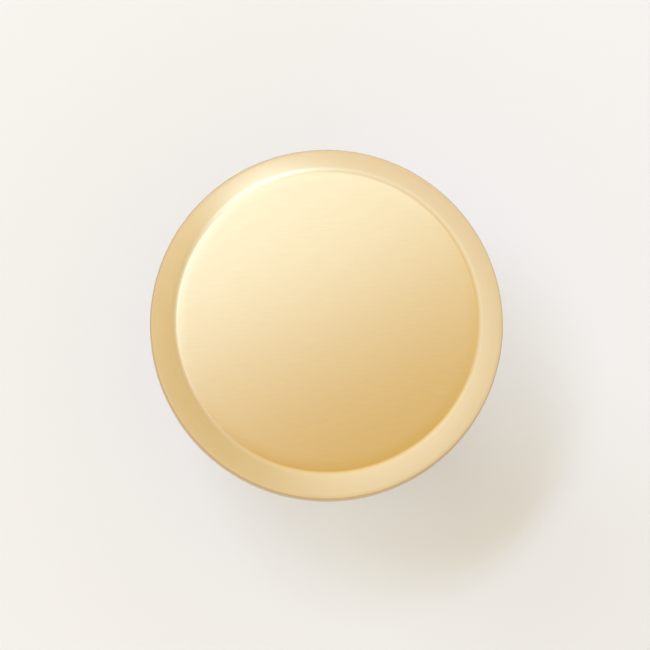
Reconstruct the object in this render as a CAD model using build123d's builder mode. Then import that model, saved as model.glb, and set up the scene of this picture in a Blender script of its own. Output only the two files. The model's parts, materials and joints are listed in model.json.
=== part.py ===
from build123d import *
from math import radians, tan
import os

# A round cabinet knob, turned from one piece of solid brass and tapped from behind for its screw.
# Millimetres. The origin is the centre of the mounting face, and +Z runs along the knob's axis,
# from the drawer front out to the brushed face.

# Head
head_diameter = 32.0          # across the rim, the widest place
projection = 25.0             # from the mounting face to the middle of the brushed face
face_crown = 0.6              # rise of the gently domed face above its edge
bevel_width = 2.2             # bevel round the face, seen along the axis
bevel_angle = 45.0            # slope of the bevel, in degrees below the face's plane
rim_height = 2.4              # turned wall between the bevel and the back of the head
back_angle = 18.0             # slope of the head's back, in degrees, falling towards the stem
face_edge_radius = 0.9        # soft edge between the face and the bevel
rim_front_chamfer = 0.35      # broken edge between the bevel and the rim
rim_back_chamfer = 0.6        # broken edge behind the rim, where the fingers pull

# Stem
stem_diameter = 12.0          # straight, down to the mounting face
stem_cove_radius = 5.0        # hollow sweep from the stem into the back of the head
foot_chamfer = 0.3            # broken edge round the mounting face

# Tapped hole for an M4 x 0.7 screw, at its core diameter
screw_core_diameter = 3.3
screw_hole_depth = 14.0       # full-diameter depth from the mounting face
screw_mouth_diameter = 4.5    # countersunk mouth that leads the screw in
screw_mouth_angle = 90.0      # included angle of the mouth
drill_point_angle = 118.0     # included angle of the hole's blind end

# Radii and heights that follow from the sizes above
head_radius = head_diameter / 2
face_radius = head_radius - bevel_width
stem_radius = stem_diameter / 2
face_edge_z = projection - face_crown
rim_front_z = face_edge_z - bevel_width * tan(radians(bevel_angle))
rim_back_z = rim_front_z - rim_height
stem_top_z = rim_back_z - (head_radius - stem_radius) * tan(radians(back_angle))

# Corners of the half section, as (radius, height), before they are rounded or broken
foot_corner = (stem_radius, 0)
stem_top_corner = (stem_radius, stem_top_z)
rim_back_corner = (head_radius, rim_back_z)
rim_front_corner = (head_radius, rim_front_z)
face_edge_corner = (face_radius, face_edge_z)
face_middle = (0, projection)

corner_radii = [
    (stem_top_corner, stem_cove_radius),
    (face_edge_corner, face_edge_radius),
]
corner_chamfers = [
    (foot_corner, foot_chamfer),
    (rim_back_corner, rim_back_chamfer),
    (rim_front_corner, rim_front_chamfer),
]

with BuildPart() as knob:
    # The solid of revolution: stem and head in one section
    with BuildSketch(Plane.XZ) as section:
        with BuildLine():
            stem_and_rim = Polyline(
                (0, 0),
                foot_corner,
                stem_top_corner,
                rim_back_corner,
                rim_front_corner,
                face_edge_corner,
            )
            # The domed face lies level at the axis
            TangentArc(face_middle, face_edge_corner, tangent=(1, 0))
            Line(face_middle, stem_and_rim @ 0)
        make_face()
        for corner, radius in corner_radii:
            fillet(section.vertices().sort_by_distance(corner)[0], radius=radius)
        for corner, length in corner_chamfers:
            chamfer(section.vertices().sort_by_distance(corner)[0], length=length)
    revolve(axis=Axis.Z)

    # The screw hole: countersunk mouth, core wall and drill point
    core_radius = screw_core_diameter / 2
    mouth_radius = screw_mouth_diameter / 2
    mouth_depth = (mouth_radius - core_radius) / tan(radians(screw_mouth_angle / 2))
    drill_point_depth = core_radius / tan(radians(drill_point_angle / 2))
    with BuildSketch(Plane.XZ):
        with BuildLine():
            Polyline(
                (0, 0),
                (mouth_radius, 0),
                (core_radius, mouth_depth),
                (core_radius, screw_hole_depth),
                (0, screw_hole_depth + drill_point_depth),
                close=True,
            )
        make_face()
    revolve(axis=Axis.Z, mode=Mode.SUBTRACT)

knob.part.label = "knob"
os.makedirs("parts", exist_ok=True)
export_step(knob.part, "parts/knob.step")

print(f"face edge at {face_edge_z:.2f} mm, rim from {rim_back_z:.2f} to {rim_front_z:.2f} mm")
print(f"stem top at {stem_top_z:.2f} mm, mouth of the hole {mouth_depth:.2f} mm deep")
print(f"volume {knob.part.volume:.0f} mm3, size {knob.part.bounding_box().size}")
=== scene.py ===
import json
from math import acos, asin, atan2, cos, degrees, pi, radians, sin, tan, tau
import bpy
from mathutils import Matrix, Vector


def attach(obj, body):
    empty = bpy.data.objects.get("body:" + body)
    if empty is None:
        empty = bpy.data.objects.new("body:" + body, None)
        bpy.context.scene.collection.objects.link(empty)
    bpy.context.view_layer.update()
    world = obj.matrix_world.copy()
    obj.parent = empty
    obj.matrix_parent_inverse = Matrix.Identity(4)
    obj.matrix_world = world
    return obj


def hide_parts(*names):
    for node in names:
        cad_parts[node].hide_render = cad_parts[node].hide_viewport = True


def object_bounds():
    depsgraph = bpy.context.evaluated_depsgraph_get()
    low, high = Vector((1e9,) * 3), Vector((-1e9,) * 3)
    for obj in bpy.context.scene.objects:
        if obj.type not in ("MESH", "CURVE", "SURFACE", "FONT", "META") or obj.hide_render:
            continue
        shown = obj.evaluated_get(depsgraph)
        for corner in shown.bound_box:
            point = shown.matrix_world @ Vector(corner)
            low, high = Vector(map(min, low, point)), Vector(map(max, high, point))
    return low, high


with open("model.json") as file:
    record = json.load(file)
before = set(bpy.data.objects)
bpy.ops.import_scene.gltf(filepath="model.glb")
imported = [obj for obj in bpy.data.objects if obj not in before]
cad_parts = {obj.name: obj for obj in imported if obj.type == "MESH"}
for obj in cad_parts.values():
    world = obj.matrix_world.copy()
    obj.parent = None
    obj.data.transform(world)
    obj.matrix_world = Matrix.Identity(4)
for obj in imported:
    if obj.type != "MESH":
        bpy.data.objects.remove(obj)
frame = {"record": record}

# %% [markdown]
# # A turned brass cabinet knob
# The knob is one piece of solid brass: a round head with a straight-brushed face and a bevel round it,
# on a plain stem that is tapped from behind for its screw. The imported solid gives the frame: where the
# knob stands and how large it is. This lesson turns the same section again as a fine mesh, cuts the
# thread, and gives each zone the finish that its tool left.

MM = 0.001
cad_low, cad_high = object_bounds()
head_radius = cad_high.x / MM
projection = cad_high.z / MM
hole = next(mount for mount in frame["record"]["mounts"] if mount["name"] == "screw_hole")
core_radius = hole["dims"]["r_mm"]
print(f"head {2 * head_radius:.1f} mm across, {projection:.1f} mm high, hole {2 * core_radius:.1f} mm")

# %% [markdown]
# ## The face
# The face is a shallow dome. The soft brushing belt rolls over its border and wears it down by a few
# hundredths of a millimetre, and a rounded edge leads on into the bevel. So the section is three arcs that
# run into each other without a kink. A bevel modifier would round the edge too, but it works on flat
# facets and would flatten the dome beside it. Here each arc is worked out from what it has to touch.

# %% Arcs of the face
face_crown = 0.6
bevel_width = 2.2
bevel_slope = radians(45)
bevel_belly = radians(2.5)
face_edge_radius = 1.25
roll_width = 1.2
roll_drop = 0.05
dome_steps, roll_steps, edge_steps = 32, 8, 18

face_radius = head_radius - bevel_width
face_edge = Vector((face_radius, projection - face_crown))
upper_bevel_slope = bevel_slope - bevel_belly
rolled_edge = face_edge + roll_drop * Vector((1 / tan(upper_bevel_slope), -1))


def facing(slope):
    """Direction that the section faces where it falls away at this slope."""
    return Vector((sin(slope), cos(slope)))


def arc(centre, radius, from_slope, to_slope, steps):
    """Points of the section along an arc, given by the slopes at its two ends."""
    turn = (to_slope - from_slope) / steps
    return [centre + radius * facing(from_slope + turn * step) for step in range(steps + 1)]


dome_radius = (face_radius ** 2 + face_crown ** 2) / (2 * face_crown)
dome_centre = Vector((0, projection - dome_radius))
roll_slope = asin((face_radius - roll_width) / dome_radius)
dome = arc(dome_centre, dome_radius, 0, roll_slope, dome_steps)

roll_chord = rolled_edge - dome[-1]
roll_radius = -roll_chord.length_squared / (2 * roll_chord.dot(facing(roll_slope)))
roll_centre = dome[-1] - roll_radius * facing(roll_slope)
bevel_reach = (rolled_edge - roll_centre).dot(facing(upper_bevel_slope)) - face_edge_radius
edge_slope = upper_bevel_slope - acos(bevel_reach / (roll_radius - face_edge_radius))
edge_centre = roll_centre + (roll_radius - face_edge_radius) * facing(edge_slope)
roll = arc(roll_centre, roll_radius, roll_slope, edge_slope, roll_steps)
soft_edge = arc(edge_centre, face_edge_radius, edge_slope, upper_bevel_slope, edge_steps)
face_section = dome[1:] + roll[1:] + soft_edge[1:]
print(f"dome of {dome_radius:.0f} mm radius, falling {degrees(roll_slope):.1f} degrees at its border")
print(f"rolled border of {roll_radius:.0f} mm radius, falling {degrees(edge_slope):.1f} degrees at its edge")

# %% [markdown]
# ## Bevel, rim, back and stem
# The rest of the section is straight cuts. The bevel is one of them, with a slight belly, as a polishing
# wheel leaves it. The turner rounds the rim's front edge and breaks every other corner with a touch of the
# file, so each corner here is an arc. Smooth shading spreads a corner's turn over the faces beside it, so
# each straight cut also gets a ring close to both of its ends, which keeps the cut flat.

# %% Corners of the straight cuts
rim_height = 2.4
back_slope = radians(18)
rim_back_chamfer = 0.6
stem_radius = 6.0
foot_chamfer = 0.3
mouth_radius = 2.25
mouth_slope = radians(45)

rim_front = Vector((head_radius, face_edge.y - bevel_width * tan(bevel_slope)))
bevel_half = (rim_front - face_edge) / 2
bevel_middle = face_edge + bevel_half + bevel_half.length * tan(bevel_belly) * facing(bevel_slope)
rim_back = rim_front - Vector((0, rim_height))
stem_top = Vector((stem_radius, rim_back.y - (head_radius - stem_radius) * tan(back_slope)))
foot = Vector((stem_radius, 0))
mouth = Vector((mouth_radius, 0))
mouth_depth = (mouth_radius - core_radius) / tan(mouth_slope)
core_top = Vector((core_radius, mouth_depth))


def cut_corner(before, corner, after, length):
    """The two points that a chamfer leaves of a corner."""
    return [corner + length * (side - corner).normalized() for side in (before, after)]


pull_edge = cut_corner(rim_front, rim_back, stem_top, rim_back_chamfer)
corners = [
    soft_edge[-1],
    bevel_middle,
    rim_front,
    *pull_edge,
    stem_top,
    *cut_corner(stem_top, foot, mouth, foot_chamfer),
    mouth,
    core_top,
]
print(f"rim from {rim_back.y:.1f} to {rim_front.y:.1f} mm, stem's top at {stem_top.y:.1f} mm")

# %% [markdown]
# ## Rounding the corners
# Three corners have a radius of their own: the belly of the bevel, the rim's front edge and the hollow under
# the head. All others are only broken. The printed lengths are what the arcs leave of each straight cut: a
# length below zero would mean that two arcs overlap.

# %% Arcs between the straight cuts
bevel_belly_radius, belly_steps = 20, 10
rim_front_radius, rim_steps = 1.5, 12
stem_cove_radius, cove_steps = 5.0, 24
broken_radius, broken_steps = 0.12, 4
holding_gap = 0.05
widest_gap_share = 1 / 4


def round_corner(before, corner, after, radius, steps):
    """Points of the arc that rounds a corner between two straight cuts."""
    back = (before - corner).normalized()
    ahead = (after - corner).normalized()
    half = back.angle(ahead) / 2
    centre = corner + (back + ahead).normalized() * radius / sin(half)
    start = corner + back * radius / tan(half) - centre
    end = corner + ahead * radius / tan(half) - centre
    return [centre + radius * start.slerp(end, step / steps) for step in range(steps + 1)]


def straight_run(start, end):
    """Two holding points on a straight cut, near its ends."""
    gap = min(holding_gap, (end - start).length * widest_gap_share)
    along = (end - start).normalized() * gap
    return [start + along, end - along]


bends = {
    bevel_middle.freeze(): (bevel_belly_radius, belly_steps),
    rim_front.freeze(): (rim_front_radius, rim_steps),
    stem_top.freeze(): (stem_cove_radius, cove_steps),
}
outside = []
last_end = corners[0]
straight_lengths = []
for before, corner, after in zip(corners, corners[1:], corners[2:]):
    radius, steps = bends.get(corner.freeze(), (broken_radius, broken_steps))
    bend = round_corner(before, corner, after, radius, steps)
    straight_lengths.append((bend[0] - last_end).dot((corner - before).normalized()))
    outside += straight_run(last_end, bend[0]) + bend
    last_end = bend[-1]
outside += [*straight_run(last_end, core_top), core_top]
print(f"section: {len(face_section)} points on the face, {len(outside)} behind it")
print("straight lengths between the bends", [round(length, 2) for length in straight_lengths])

# %% [markdown]
# ## The tapped hole
# The hole is drilled, countersunk at its mouth and tapped M4. A screw modifier could wind a thread, but it
# would have to be joined to the hole's wall. Here the wall itself carries the thread: at each height and
# angle its radius follows the thread's profile, which runs out before the drill's point.

# %% Thread profile
thread_pitch = 0.7
thread_depth = 0.35
thread_rows_per_turn = 10
run_out_turns = 2
crest_share, flank_share = 0.25, 0.31
drill_point_angle = radians(118)

hole_depth = mouth_depth + hole["dims"]["length_mm"]
thread_end = hole_depth - run_out_turns * thread_pitch
drill_point_depth = core_radius / tan(drill_point_angle / 2)


def thread_height(turns):
    """How deep the thread is cut at this share of a turn, from 0 on its crest to 1 at its root."""
    from_crest = abs((turns + 0.5) % 1 - 0.5)
    return min(max((from_crest - crest_share / 2) / flank_share, 0), 1)


def wall_radius(height, turn_share):
    """Radius of the tapped wall at a height above the mounting face."""
    run_in = min((height - mouth_depth) / thread_pitch, (thread_end - height) / thread_pitch)
    cut = min(max(run_in, 0), 1) * thread_height(height / thread_pitch - turn_share)
    return core_radius + thread_depth * cut


thread_rows = int(thread_end / thread_pitch * thread_rows_per_turn)
thread_length = thread_end - mouth_depth
row_heights = [mouth_depth + thread_length * row / thread_rows for row in range(1, thread_rows + 1)]
row_heights.append(hole_depth)
print(f"thread of {thread_end / thread_pitch:.0f} turns on {len(row_heights)} rows")

# %% [markdown]
# ## Turning the mesh
# The section is turned about the knob's axis, ring by ring, as the lathe does it. A screw modifier would
# turn it too, but here each strip between two rings has to remember which tool finished it, and each
# vertex how far along the section it lies, because the finishes are drawn from both. The belt reaches the
# first third of the soft edge.

# %% Rings of vertices
segments = 192
brushed_share = 1 / 3
brushed_points = len(face_section) - round(len(soft_edge) * (1 - brushed_share))

vertices = [Vector((0, 0, projection))]
section_length = [0.0]
ring_zones = []


def add_ring(radius_at, height, length, zone):
    """One ring of vertices, whose radius may change round the turn, at a length along the section."""
    for step in range(segments):
        radius = radius_at(step / segments)
        turn = tau * step / segments
        vertices.append(Vector((radius * cos(turn), radius * sin(turn), height)))
        section_length.append(length)
    ring_zones.append(zone)


reach = 0.0
last_point = Vector((0, projection))
for number, point in enumerate(face_section + outside):
    if number < brushed_points:
        zone = "face"
    elif point.y > rim_front.y:
        zone = "bevel"
    elif pull_edge[1].y < point.y < pull_edge[0].y:
        zone = "pull edge"
    else:
        zone = "back"
    reach += (point - last_point).length
    last_point = point
    add_ring(lambda share: point.x, point.y, reach, zone)
for height in row_heights:
    add_ring(lambda share: wall_radius(height, share), height, reach + height - mouth_depth, "hole")
print(f"{len(ring_zones)} rings of {segments} vertices")

# %% [markdown]
# ## Closing the mesh
# Strips of four-sided faces join the rings. A fan of triangles closes the middle of the face, and another
# one the drill's point, so the mesh is as closed as the solid.

# %% Strips between the rings
zones = ["face", "bevel", "back", "pull edge", "hole"]
faces = []
face_zones = []


def first_of(ring):
    """Number of a ring's first vertex."""
    return 1 + ring * segments


for step in range(segments):
    after = (step + 1) % segments
    faces.append((0, first_of(0) + step, first_of(0) + after))
    face_zones.append(zones.index("face"))
for ring in range(1, len(ring_zones)):
    upper, lower = first_of(ring - 1), first_of(ring)
    for step in range(segments):
        after = (step + 1) % segments
        faces.append((upper + step, lower + step, lower + after, upper + after))
        face_zones.append(zones.index(ring_zones[ring]))

drill_point = len(vertices)
vertices.append(Vector((0, 0, hole_depth + drill_point_depth)))
section_length.append(section_length[-1] + core_radius)
last_ring = first_of(len(ring_zones) - 1)
for step in range(segments):
    faces.append((last_ring + step, drill_point, last_ring + (step + 1) % segments))
    face_zones.append(zones.index("hole"))

# %% The mesh itself
knob_mesh = bpy.data.meshes.new("knob_turned")
knob_mesh.from_pydata([vertex * MM for vertex in vertices], [], faces)
knob_mesh.polygons.foreach_set("material_index", face_zones)
knob_mesh.shade_smooth()
knob_mesh.validate()
knob = bpy.data.objects.new("knob_turned", knob_mesh)
bpy.context.scene.collection.objects.link(knob)
knob_mesh.calc_loop_triangles()
print(f"{len(knob_mesh.vertices)} vertices, {len(knob_mesh.loop_triangles)} triangles")

# %% [markdown]
# ## Which way the grooves run
# A belt brushes the face in straight lines, and a lathe tool leaves circles on everything else. A UV map
# records this in millimetres: its first coordinate runs across the grooves and its second along them. An
# unwrapping tool would lay the surface out flat, but it wouldn't know which way the tools moved.

# %% Directions across the grooves
brush_angle = radians(3)
groove_map = knob_mesh.uv_layers.new(name="grooves")
for polygon in knob_mesh.polygons:
    middle = atan2(polygon.center.y, polygon.center.x)
    for loop, index in zip(polygon.loop_indices, polygon.vertices):
        point = vertices[index]
        if zones[polygon.material_index] == "face":
            across = point.y * cos(brush_angle) - point.x * sin(brush_angle)
            along = point.x * cos(brush_angle) + point.y * sin(brush_angle)
        else:
            turn = atan2(point.y, point.x)
            turn += tau * round((middle - turn) / tau)
            across = section_length[index]
            along = turn * head_radius
        groove_map.data[loop].uv = (across, along)
print(f"section of {section_length[-1]:.0f} mm from the middle of the face to the drill's point")

# %% [markdown]
# ## Brass
# Satin brass gets its look from thousands of fine scratches that all run one way. They spread a highlight
# across themselves and leave it narrow along themselves. As geometry they would take millions of faces, so
# the shader's anisotropy does it, and takes its direction from the map of the grooves.

# %% A plain brass
brushed_colour = (0.82, 0.575, 0.26)
turned_colour = (0.84, 0.62, 0.33)
# Darker brass for the back and the rim's wall: partly a dull unpolished finish, partly painted shade.
dull_and_painted_shade_colour = (0.64, 0.45, 0.22)


def new_brass(name, colour, roughness, anisotropy):
    """A brass shader whose highlight spreads across the grooves."""
    material = bpy.data.materials.new(name)
    material.use_nodes = True
    nodes = material.node_tree.nodes
    shader = nodes["Principled BSDF"]
    shader.inputs["Base Color"].default_value = (*colour, 1)
    shader.inputs["Metallic"].default_value = 1
    shader.inputs["Roughness"].default_value = roughness
    shader.inputs["Anisotropic"].default_value = anisotropy
    tangent = nodes.new("ShaderNodeTangent")
    tangent.direction_type = "UV_MAP"
    tangent.uv_map = groove_map.name
    material.node_tree.links.new(tangent.outputs["Tangent"], shader.inputs["Tangent"])
    knob_mesh.materials.append(material)
    return material


# %% [markdown]
# ## Places along the scratches
# A tool mark is drawn in millimetres across and along it. On the face the map of the grooves gives both.
# Round the lathe's axis that map has a seam, where a mark would break off. So there the way along becomes a
# place on a circle, which closes on itself.

# %% Straight lines and circles
def straight_lines(material):
    """Millimetres across and along the belt's straight scratches."""
    grooves = material.node_tree.nodes.new("ShaderNodeUVMap")
    grooves.uv_map = groove_map.name
    return grooves.outputs["UV"]


def circles(material):
    """Millimetres across the turned grooves, and round a circle that closes on itself."""
    nodes, links = material.node_tree.nodes, material.node_tree.links
    place = nodes.new("ShaderNodeTexCoord")
    level = nodes.new("ShaderNodeVectorMath")
    level.operation = "MULTIPLY"
    level.inputs[1].default_value = (1, 1, 0)
    outwards = nodes.new("ShaderNodeVectorMath")
    outwards.operation = "NORMALIZE"
    circle = nodes.new("ShaderNodeVectorMath")
    circle.operation = "SCALE"
    circle.inputs["Scale"].default_value = head_radius
    on_circle = nodes.new("ShaderNodeSeparateXYZ")
    across = nodes.new("ShaderNodeSeparateXYZ")
    lines = nodes.new("ShaderNodeCombineXYZ")
    links.new(place.outputs["Object"], level.inputs[0])
    links.new(level.outputs["Vector"], outwards.inputs[0])
    links.new(outwards.outputs["Vector"], circle.inputs[0])
    links.new(circle.outputs["Vector"], on_circle.inputs[0])
    links.new(straight_lines(material), across.inputs[0])
    links.new(across.outputs["X"], lines.inputs["X"])
    links.new(on_circle.outputs["X"], lines.inputs["Y"])
    links.new(on_circle.outputs["Y"], lines.inputs["Z"])
    return lines.outputs["Vector"]


# %% [markdown]
# ## Streaks
# The deeper scratches can be seen. A noise that is stretched along them gives streaks of all strengths. A
# wave texture gives lines too, but evenly spaced ones, and no belt brushes so evenly. For single scratches
# the noise is spread out around its middle and cubed, which leaves few strong streaks and many faint ones.

# %% Fine streaks and single scratches
noise_detail = 3
noise_low, noise_high = 0.2, 0.8
rarity = 3


def scratches(material, lines, width, length):
    """Noise in streaks of this width and length, in millimetres, from 0 to 1."""
    nodes, links = material.node_tree.nodes, material.node_tree.links
    stretch = nodes.new("ShaderNodeMapping")
    stretch.inputs["Scale"].default_value = (1 / width, 1 / length, 1 / length)
    noise = nodes.new("ShaderNodeTexNoise")
    noise.inputs["Scale"].default_value = 1
    noise.inputs["Detail"].default_value = noise_detail
    links.new(lines, stretch.inputs["Vector"])
    links.new(stretch.outputs["Vector"], noise.inputs["Vector"])
    return noise.outputs["Fac"]


def with_single_scratches(material, streaks, lines, width, length, share):
    """Streaks with a share of longer single scratches, few of them strong, among them."""
    nodes, links = material.node_tree.nodes, material.node_tree.links
    spread = nodes.new("ShaderNodeMapRange")
    spread.inputs["From Min"].default_value = noise_low
    spread.inputs["From Max"].default_value = noise_high
    spread.inputs["To Min"].default_value = -1
    few = nodes.new("ShaderNodeMath")
    few.operation = "POWER"
    few.inputs[1].default_value = rarity
    back_to_share = nodes.new("ShaderNodeMapRange")
    back_to_share.inputs["From Min"].default_value = -1
    together = nodes.new("ShaderNodeMix")
    together.inputs["Factor"].default_value = share
    links.new(scratches(material, lines, width, length), spread.inputs["Value"])
    links.new(spread.outputs["Result"], few.inputs[0])
    links.new(few.outputs["Value"], back_to_share.inputs["Value"])
    links.new(streaks, together.inputs["A"])
    links.new(back_to_share.outputs["Result"], together.inputs["B"])
    return together.outputs["Result"]


# %% [markdown]
# ## Marking a brass
# A scratch catches the light in three ways: it is a shade lighter or darker, duller or glossier, and a
# little deeper than the metal beside it. The same streaks drive all three, so they stay in step.

# %% Tone, gloss and depth
def mark(material, streaks, tone, gloss, depth):
    """Lets streaks change the tone by a share, the roughness by an amount and the height by millimetres."""
    nodes, links = material.node_tree.nodes, material.node_tree.links
    shader = nodes["Principled BSDF"]
    plain_colour = Vector(shader.inputs["Base Color"].default_value[:3])
    plain_roughness = shader.inputs["Roughness"].default_value
    colour = nodes.new("ShaderNodeMix")
    colour.data_type = "RGBA"
    colour.inputs["A"].default_value = (*plain_colour * (1 - tone), 1)
    colour.inputs["B"].default_value = (*plain_colour * (1 + tone), 1)
    rough = nodes.new("ShaderNodeMapRange")
    rough.inputs["To Min"].default_value = plain_roughness + gloss
    rough.inputs["To Max"].default_value = plain_roughness - gloss
    relief = nodes.new("ShaderNodeBump")
    relief.inputs["Distance"].default_value = depth * MM
    links.new(streaks, colour.inputs["Factor"])
    links.new(streaks, rough.inputs["Value"])
    links.new(streaks, relief.inputs["Height"])
    links.new(colour.outputs["Result"], shader.inputs["Base Color"])
    links.new(rough.outputs["Result"], shader.inputs["Roughness"])
    links.new(relief.outputs["Normal"], shader.inputs["Normal"])


# %% [markdown]
# ## Five finishes
# The belt leaves the face satin, with a few single scratches among the fine ones. The tool leaves faint
# rings on the bevel, and coarser ones on the back and in the hole, which nobody polishes. The back is also
# a darker brass: partly its dull unpolished finish, and partly painted shade that darkens the rim's wall.
# Fingers burnish the edge behind the rim, where they pull. One material could hold all five behind masks,
# but five small ones keep the numbers of each tool together.

# %% The brushed face
face_brass = new_brass("brushed_face_brass", brushed_colour, roughness=0.33, anisotropy=0.37)
belt_lines = straight_lines(face_brass)
fine_lines = scratches(face_brass, belt_lines, width=0.15, length=2.2)
brushing = with_single_scratches(face_brass, fine_lines, belt_lines, width=0.2, length=1.2, share=0.6)
mark(face_brass, brushing, tone=0.08, gloss=0.08, depth=0.0012)

# %% The turned zones
bevel_brass = new_brass("turned_bevel_brass", turned_colour, roughness=0.38, anisotropy=0.4)
bevel_rings = scratches(bevel_brass, circles(bevel_brass), width=0.12, length=9)
mark(bevel_brass, bevel_rings, tone=0.02, gloss=0.04, depth=0.0006)

# The back's darker colour is partly painted shade, a dark line along the rim's wall.
back_brass = new_brass("turned_back_brass", dull_and_painted_shade_colour, roughness=0.31, anisotropy=0.55)
back_rings = scratches(back_brass, circles(back_brass), width=0.2, length=14)
mark(back_brass, back_rings, tone=0.05, gloss=0.07, depth=0.002)

pull_brass = new_brass("burnished_edge_brass", turned_colour, roughness=0.22, anisotropy=0.2)
pull_rings = scratches(pull_brass, circles(pull_brass), width=0.25, length=3)
mark(pull_brass, pull_rings, tone=0.03, gloss=0.05, depth=0.0004)

hole_brass = new_brass("tapped_hole_brass", turned_colour, roughness=0.35, anisotropy=0.3)
hole_rings = scratches(hole_brass, circles(hole_brass), width=0.3, length=4)
mark(hole_brass, hole_rings, tone=0.05, gloss=0.08, depth=0.001)
print([material.name for material in knob_mesh.materials])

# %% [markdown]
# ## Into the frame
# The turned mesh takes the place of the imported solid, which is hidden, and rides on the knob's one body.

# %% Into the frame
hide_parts("knob")
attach(knob, "root")

# %% [markdown]
# ## The studio
# The knob stands face up on a plain pale floor, as it would stand on a table under a camera. The floor lies
# a hair below the mounting face, because two faces in one plane would flicker.

# %% Floor
floor_colour = (0.86, 0.855, 0.925)
floor_half = 3.0
floor_height = -0.02 * MM
floor_sides = ((-1, -1), (1, -1), (1, 1), (-1, 1))
floor_corners = [(x * floor_half, y * floor_half, floor_height) for x, y in floor_sides]

floor_mesh = bpy.data.meshes.new("floor")
floor_mesh.from_pydata(floor_corners, [], [(0, 1, 2, 3)])
floor = bpy.data.objects.new("floor", floor_mesh)
bpy.context.scene.collection.objects.link(floor)
floor_paper = bpy.data.materials.new("floor_paper")
floor_paper.use_nodes = True
floor_shader = floor_paper.node_tree.nodes["Principled BSDF"]
floor_shader.inputs["Base Color"].default_value = (*floor_colour, 1)
floor_shader.inputs["Roughness"].default_value = 1
floor_shader.inputs["Specular IOR Level"].default_value = 0
floor_mesh.materials.append(floor_paper)

# %% [markdown]
# ## Light
# Metal shows the room round it, so the room matters more than the lamps. It has a dim warm ceiling and
# lighter walls, the right one lighter and cooler than the left. An image of a room would do the same, but
# two gradients by direction say it in three colours.

# %% The room
ceiling_colour = (0.71, 0.53, 0.075)
light_wall_colour = (1.12, 1.28, 1.58)
dark_wall_colour = (0.81, 0.79, 0.60)
light_wall_azimuth = radians(10)
dark_wall_end, light_wall_start = -0.75, 0.10
wall_top, ceiling_start = 0.40, 0.93

room = bpy.data.worlds.new("studio_room")
bpy.context.scene.world = room
room.use_nodes = True
room_nodes, room_links = room.node_tree.nodes, room.node_tree.links
direction = room_nodes.new("ShaderNodeTexCoord")
height_share = room_nodes.new("ShaderNodeSeparateXYZ")
towards_light_wall = room_nodes.new("ShaderNodeVectorMath")
towards_light_wall.operation = "DOT_PRODUCT"
towards_light_wall.inputs[1].default_value = (cos(light_wall_azimuth), sin(light_wall_azimuth), 0)
round_the_room = room_nodes.new("ShaderNodeMapRange")
round_the_room.interpolation_type = "SMOOTHSTEP"
round_the_room.inputs["From Min"].default_value = dark_wall_end
round_the_room.inputs["From Max"].default_value = light_wall_start
upwards = room_nodes.new("ShaderNodeMapRange")
upwards.interpolation_type = "SMOOTHSTEP"
upwards.inputs["From Min"].default_value = wall_top
upwards.inputs["From Max"].default_value = ceiling_start
walls = room_nodes.new("ShaderNodeMix")
walls.data_type = "RGBA"
walls.inputs["A"].default_value = (*dark_wall_colour, 1)
walls.inputs["B"].default_value = (*light_wall_colour, 1)
walls_and_ceiling = room_nodes.new("ShaderNodeMix")
walls_and_ceiling.data_type = "RGBA"
walls_and_ceiling.inputs["B"].default_value = (*ceiling_colour, 1)
room_links.new(direction.outputs["Generated"], height_share.inputs[0])
room_links.new(direction.outputs["Generated"], towards_light_wall.inputs[0])
room_links.new(towards_light_wall.outputs["Value"], round_the_room.inputs["Value"])
room_links.new(height_share.outputs["Z"], upwards.inputs["Value"])
room_links.new(round_the_room.outputs["Result"], walls.inputs["Factor"])
room_links.new(upwards.outputs["Result"], walls_and_ceiling.inputs["Factor"])
room_links.new(walls.outputs["Result"], walls_and_ceiling.inputs["A"])
room_links.new(walls_and_ceiling.outputs["Result"], room_nodes["Background"].inputs["Color"])

# %% [markdown]
# ## Lamps and cards
# A photographer lights brass in two ways at once. Glowing cards are there only for the metal to mirror:
# a window behind it, a strip on the left, a fill in front, a weak card on the right and a low one at the
# back. Two lamps light the paper. The head stops the light of the high one, and mostly the stem that of the
# long low one, so their shadow is deep in the middle and narrow. A polarising filter keeps their glare off
# the metal. Ray visibility does the same here: the paper doesn't see the cards, and the metal doesn't see
# the lamps. Glowing planes would give the same pictures in the metal, but area lamps leave less noise. They
# are ellipses, because a round end fades on a bevel where a square one would show.

# %% A lamp by its angles
lamp_distance = 1.0
ellipse_share = pi / 4


def softbox(name, azimuth, lean, half_width, half_height, brightness):
    """A soft lamp aimed at the head, all in degrees; brightness is what a mirror shows, where 1 is white."""
    lean_angle, azimuth_angle = radians(lean), radians(azimuth)
    sideways = Vector((cos(azimuth_angle), sin(azimuth_angle), 0))
    away = sideways * sin(lean_angle) + Vector((0, 0, cos(lean_angle)))
    lamp = bpy.data.lights.new(name, "AREA")
    lamp.shape = "ELLIPSE"
    lamp.size = 2 * lamp_distance * tan(radians(half_width))
    lamp.size_y = 2 * lamp_distance * tan(radians(half_height))
    strength = max(brightness)
    lamp.color = [channel / strength for channel in brightness]
    lamp.energy = strength * pi * lamp.size * lamp.size_y * ellipse_share
    card = bpy.data.objects.new(name, lamp)
    card.location = Vector((0, 0, projection * MM)) + away * lamp_distance
    card.rotation_euler = away.to_track_quat("Z", "Y").to_euler()
    card.visible_camera = False
    bpy.context.scene.collection.objects.link(card)
    print(f"{name} {lamp.size * 100:.0f} by {lamp.size_y * 100:.0f} cm, {lamp.energy:.2f} W")
    return card


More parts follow.
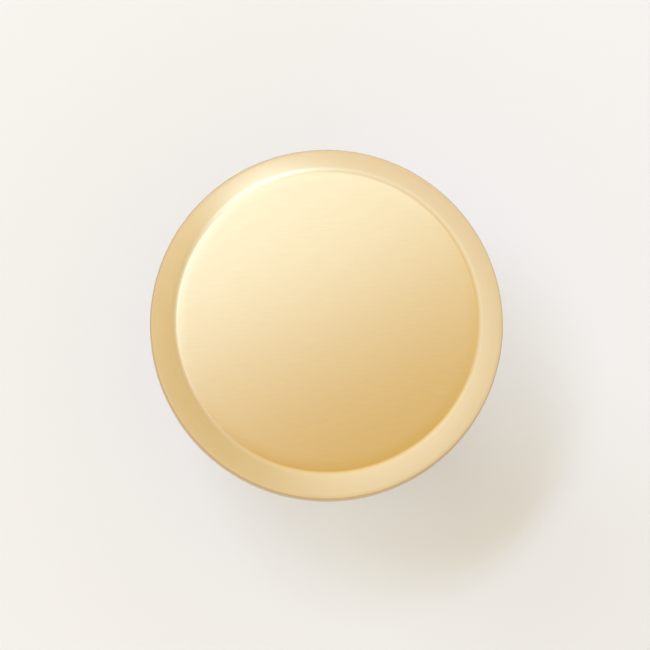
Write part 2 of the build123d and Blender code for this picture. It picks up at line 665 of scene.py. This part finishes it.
# %% Five cards and two lamps
window_light = softbox(
    "window_light", azimuth=110, lean=20, half_width=28, half_height=13, brightness=(0.77, 1.46, 3.22)
)
side_light = softbox(
    "side_light", azimuth=168, lean=24, half_width=50, half_height=5, brightness=(0.46, 0.84, 2.25)
)
fill_light = softbox(
    "fill_light", azimuth=290, lean=42, half_width=44, half_height=14, brightness=(0.31, 0.38, 0.44)
)
right_light = softbox(
    "right_light", azimuth=20, lean=28, half_width=18, half_height=8, brightness=(0.26, 0.42, 0.75)
)
back_light = softbox(
    "back_light", azimuth=112, lean=65, half_width=17, half_height=25, brightness=(0.72, 1.30, 2.50)
)
for card in (window_light, side_light, fill_light, right_light, back_light):
    card.visible_diffuse = False
key_light = softbox(
    "key_light", azimuth=140, lean=24, half_width=12, half_height=4, brightness=(9.27, 10.49, 14.52)
)
low_light = softbox(
    "low_light", azimuth=138, lean=75, half_width=26, half_height=4, brightness=(14.96, 17.29, 19.57)
)
for card in (key_light, low_light):
    card.visible_glossy = False

# %% [markdown]
# ## Camera
# The camera looks almost along the knob's axis, from a little below and to the left, so the lower side of
# the bevel looks wider than the upper side. The lens isn't chosen by hand: it follows from the distance and
# from the share of the picture that the head takes up.

# %% Camera
frame_pixels = 650
head_pixels = 352.9
camera_distance = 0.45
look_from_below = radians(7.0)
look_from_left = radians(1.3)
aim = Vector((-0.1325, 0.012, 21.2)) * MM

towards_camera = Vector((-tan(look_from_left), -tan(look_from_below), 1)).normalized()
picture_right = Vector((0, 1, 0)).cross(towards_camera).normalized()
picture_up = towards_camera.cross(picture_right)
picture_width = 2 * head_radius * MM * frame_pixels / head_pixels
turned = Matrix((picture_right, picture_up, towards_camera)).transposed().to_4x4()

camera_data = bpy.data.cameras.new("camera")
camera_data.lens = camera_data.sensor_width * camera_distance / picture_width
camera = bpy.data.objects.new("camera", camera_data)
camera.matrix_world = Matrix.Translation(aim + towards_camera * camera_distance) @ turned
bpy.context.scene.collection.objects.link(camera)
bpy.context.scene.camera = camera
bpy.context.scene.view_settings.view_transform = "Standard"
print(f"lens {camera_data.lens:.0f} mm")

# %% [markdown]
# ## Sizes
# The turned mesh has to fill the same box as the imported solid, so the solid's box is printed.

# %% The solid's box
print("solid", list(cad_low), list(cad_high))
